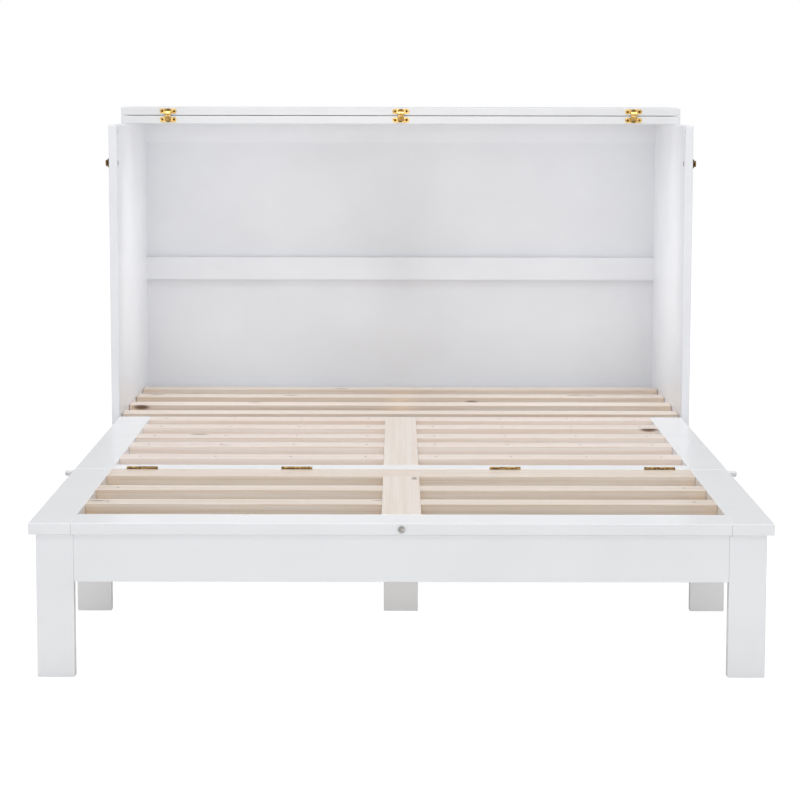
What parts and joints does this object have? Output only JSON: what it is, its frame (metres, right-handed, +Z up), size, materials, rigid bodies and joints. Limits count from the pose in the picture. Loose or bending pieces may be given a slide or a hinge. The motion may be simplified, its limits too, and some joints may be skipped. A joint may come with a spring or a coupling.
{
  "type": "wall bed",
  "caption": "Freestanding cabinet with a folding lid and a hinged slatted bed platform on fold-down legs that swings up and folds away inside it",
  "frame": {"origin": "Middle of the footprint of the opened bed, on the floor", "axes": "+X to the right seen from the foot of the bed, +Y from the foot of the bed towards the wall, +Z up"},
  "size_m": [1.475, 2.034, 1.0687],
  "materials": {
    "white_lacquer": "smooth white lacquer with a soft gloss over board",
    "slat_wood": "planed bare softwood, pale, with small knots",
    "rail_wood": "sawn bare softwood, unfinished",
    "antique_brass": "dark antique brass, worn bright on the edges",
    "polished_brass": "satin brass",
    "plated_steel": "zinc plated, slightly dull",
    "screw_steel": "small dull screw heads",
    "bolt_steel": "satin steel socket head",
    "white_nylon": "smooth white nylon"
  },
  "bodies": {
    "cabinet": {"side_panel_left": "white_lacquer", "side_panel_right": "white_lacquer", "back_panel": "white_lacquer", "back_rail_top": "white_lacquer", "back_rail_middle": "white_lacquer", "back_rail_bottom": "white_lacquer", "plinth_board": "white_lacquer", "slat_ledgers": "rail_wood", "centre_rail": "rail_wood", "rear_slat_1": "slat_wood", "rear_slat_2": "slat_wood", "rear_slat_3": "slat_wood", "rear_slat_4": "slat_wood", "lid_rear_board": "white_lacquer", "lid_hinge_rear_cups": "polished_brass", "latch_bushes": "antique_brass", "door_hinge_plinth_leaves": "plated_steel"},
    "mid_section": {"mid_side_board_left": "white_lacquer", "mid_side_board_right": "white_lacquer", "mid_fold_strip": "white_lacquer", "mid_centre_board": "slat_wood", "mid_slat_1": "slat_wood", "mid_slat_2": "slat_wood", "mid_slat_3": "slat_wood", "mid_slat_4": "slat_wood", "mid_slat_5": "slat_wood", "door_panel": "white_lacquer", "mid_screws": "screw_steel", "latch_strikes": "antique_brass", "fold_hinge_mid_leaves": "antique_brass", "door_hinge_panel_leaves": "plated_steel"},
    "front_section": {"front_side_board_left": "white_lacquer", "front_side_board_right": "white_lacquer", "front_board": "white_lacquer", "front_centre_board": "slat_wood", "front_slat_1": "slat_wood", "front_slat_2": "slat_wood", "front_fold_slat": "slat_wood", "front_under_rails": "rail_wood", "inner_leg_blocks": "rail_wood", "front_screws": "screw_steel", "centre_bolt": "bolt_steel", "fold_hinge_front_leaves": "antique_brass", "leg_hinge_deck_leaves": "plated_steel"},
    "front_legs": {"front_leg_left": "white_lacquer", "front_leg_right": "white_lacquer", "front_apron": "white_lacquer", "front_leg_hinge_leaves": "plated_steel"},
    "inner_legs": {"inner_leg_left": "white_lacquer", "inner_leg_centre": "white_lacquer", "inner_leg_right": "white_lacquer", "inner_leg_rail": "rail_wood", "inner_leg_hinge_leaves": "plated_steel"},
    "lid_leaf": {"lid_leaf_board": "white_lacquer", "lid_hinge_leaf_cups": "polished_brass"},
    "lid_links": {"lid_hinge_links": "polished_brass"},
    "latch_left": {"latch_pin_left": "antique_brass"},
    "latch_right": {"latch_pin_right": "antique_brass"},
    "catch_left": {"spring_catch_left": "white_nylon"},
    "catch_right": {"spring_catch_right": "white_nylon"}
  },
  "joints": [
    {"name": "mid_fold", "type": "hinge", "parent": "cabinet", "child": "mid_section", "pos_m": [0, 0.3585, 0.25], "axis": [-1, 0, 0], "range_deg": [0, 90]},
    {"name": "front_fold", "type": "hinge", "parent": "mid_section", "child": "front_section", "pos_m": [0, -0.41, 0.299], "axis": [-1, 0, 0], "range_deg": [0, 180]},
    {"name": "front_legs_fold", "type": "hinge", "parent": "front_section", "child": "front_legs", "pos_m": [0, -0.9845, 0.25], "axis": [1, 0, 0], "range_deg": [0, 90]},
    {"name": "inner_legs_fold", "type": "hinge", "parent": "front_section", "child": "inner_legs", "pos_m": [0, -0.4765, 0.234], "axis": [-1, 0, 0], "range_deg": [0, 90]},
    {"name": "lid_fold", "type": "hinge", "parent": "cabinet", "child": "lid_leaf", "pos_m": [0, 0.6195, 1.04775], "axis": [1, 0, 0], "range_deg": [0, 180]},
    {"name": "lid_link_turn", "type": "hinge", "parent": "cabinet", "child": "lid_links", "pos_m": [0, 0.6195, 1.04775], "axis": [1, 0, 0], "range_deg": [0, 90]},
    {"name": "latch_left_slide", "type": "slide", "parent": "cabinet", "child": "latch_left", "axis": [1, 0, 0], "range_m": [0, 0.0065]},
    {"name": "latch_right_slide", "type": "slide", "parent": "cabinet", "child": "latch_right", "axis": [-1, 0, 0], "range_m": [0, 0.0065]},
    {"name": "catch_left_press", "type": "slide", "parent": "mid_section", "child": "catch_left", "axis": [1, 0, 0], "range_m": [0, 0.0215]},
    {"name": "catch_right_press", "type": "slide", "parent": "mid_section", "child": "catch_right", "axis": [-1, 0, 0], "range_m": [0, 0.0215]}
  ],
  "couplings": [
    {"joint": "front_fold", "follows": "mid_fold", "ratio": 2},
    {"joint": "front_legs_fold", "follows": "mid_fold", "ratio": 1},
    {"joint": "inner_legs_fold", "follows": "mid_fold", "ratio": 1},
    {"joint": "catch_left_press", "follows": "mid_fold", "m_per_rad": 0.013674},
    {"joint": "catch_right_press", "follows": "mid_fold", "m_per_rad": 0.013674},
    {"joint": "lid_link_turn", "follows": "lid_fold", "ratio": 0.5}
  ]
}
